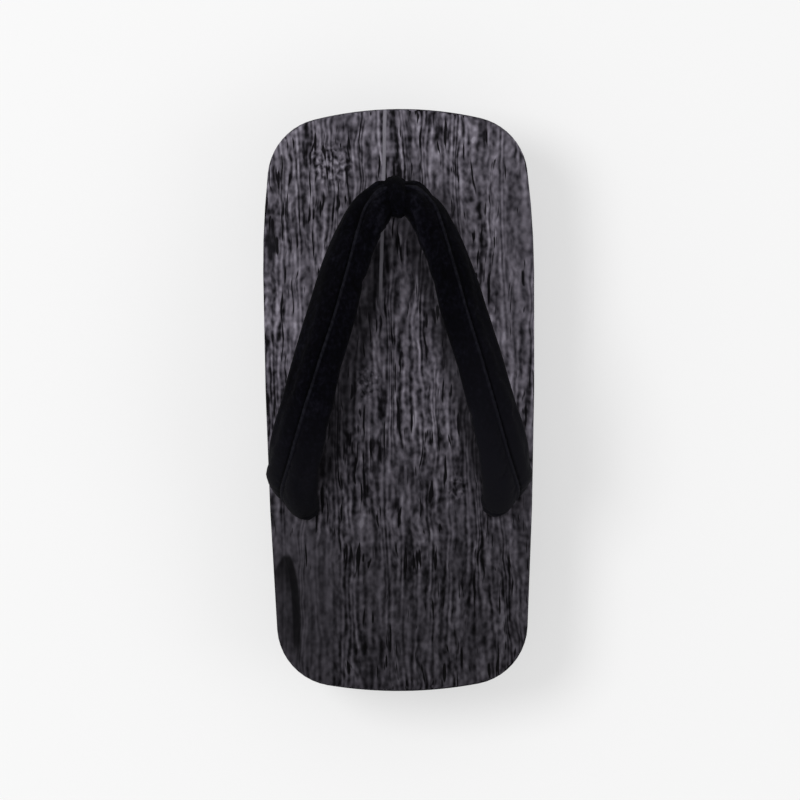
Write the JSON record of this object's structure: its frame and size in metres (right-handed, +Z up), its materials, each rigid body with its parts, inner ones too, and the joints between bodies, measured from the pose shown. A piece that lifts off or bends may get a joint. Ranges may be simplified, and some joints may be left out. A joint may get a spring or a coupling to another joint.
{
  "type": "geta sandal",
  "caption": "Wooden geta sandal: a burnt, brushed board cut in one block with its teeth, and a padded black velvet thong held by a toe loop and by knots under the board.",
  "frame": {"origin": "on the floor, under the middle of the board", "axes": "+Y towards the toe, +X to the wearer's right, +Z up"},
  "size_m": [0.1164, 0.25, 0.0955],
  "materials": {
    "wood": "burnt and brushed, satin",
    "velvet": "short pile",
    "loop_velvet": "short pile",
    "cord": "twisted cotton"
  },
  "bodies": {
    "root": {"board_with_teeth": "wood", "thong_bands": "velvet", "toe_loop": "loop_velvet", "front_knot": "cord", "rear_knot_left": "cord", "rear_knot_right": "cord"}
  },
  "joints": []
}
